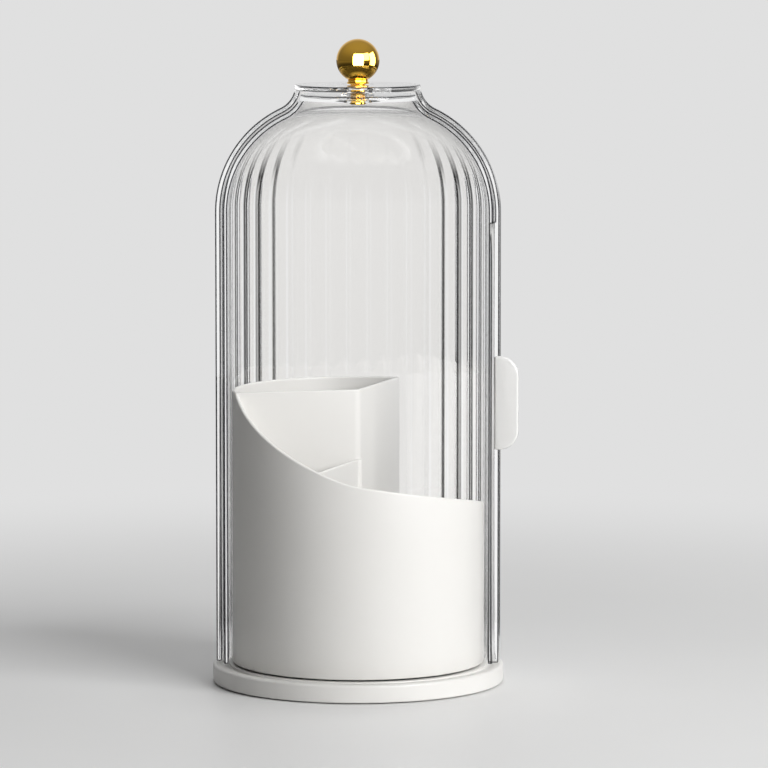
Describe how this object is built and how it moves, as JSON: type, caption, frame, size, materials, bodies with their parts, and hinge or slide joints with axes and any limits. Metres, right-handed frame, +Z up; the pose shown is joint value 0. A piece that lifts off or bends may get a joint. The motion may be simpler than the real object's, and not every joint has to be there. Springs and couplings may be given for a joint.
{
  "type": "dustproof makeup organizer",
  "caption": "Revolving cup with sloping rim and radial compartments on a round base, under a fluted clear cover with a sliding front door and a ball knob.",
  "frame": {"origin": "centre of the underside of the non-slip mat, on the table", "axes": "+Z up along the axis that the cup and the door turn about, -Y towards the front opening, +X towards the door's handle"},
  "size_m": [0.1535, 0.1462, 0.3227],
  "materials": {
    "white_plastic": "satin warm white moulded plastic",
    "clear_plastic": "clear polished plastic with vertical flutes",
    "handle_plastic": "glossy white plastic",
    "gold": "polished gold plating",
    "steel": "pressed zinc-plated steel",
    "ball_steel": "polished bearing steel",
    "nylon": "natural nylon",
    "foam_rubber": "fine-celled foam rubber"
  },
  "bodies": {
    "base": {"non_slip_mat": "foam_rubber", "base_bottom_plate": "white_plastic", "base_plate_screws": "steel", "base_tray": "white_plastic", "lower_race": "steel", "lower_race_screws": "steel"},
    "ball_ring": {"bearing_balls": "ball_steel", "ball_cage": "nylon"},
    "cup": {"brush_cup": "white_plastic", "upper_race": "steel", "upper_race_screws": "steel", "retaining_screw": "steel", "retaining_washer": "steel"},
    "cover": {"rear_cover": "clear_plastic", "plate_spacer": "clear_plastic", "lock_nut": "gold", "nut_washer": "nylon", "pivot_sleeve": "gold", "pivot_stud": "steel", "knob_collar": "gold", "knob_ball": "gold"},
    "door": {"sliding_door": "clear_plastic", "door_handle": "handle_plastic"}
  },
  "joints": [
    {"name": "cup_turn", "type": "hinge", "parent": "base", "child": "cup", "pos_m": [0, 0, 0.0105], "axis": [0, 0, 1], "continuous": true},
    {"name": "ball_ring_turn", "type": "hinge", "parent": "base", "child": "ball_ring", "pos_m": [0, 0, 0.0105], "axis": [0, 0, 1], "continuous": true},
    {"name": "cover_lift", "type": "slide", "parent": "base", "child": "cover", "axis": [0, 0, 1], "range_m": [0, 0.15]},
    {"name": "door_slide_round", "type": "hinge", "parent": "cover", "child": "door", "pos_m": [0, 0, 0.2986], "axis": [0, 0, 1], "range_deg": [-170, 0]}
  ],
  "couplings": [
    {"joint": "ball_ring_turn", "follows": "cup_turn", "ratio": 0.5}
  ]
}
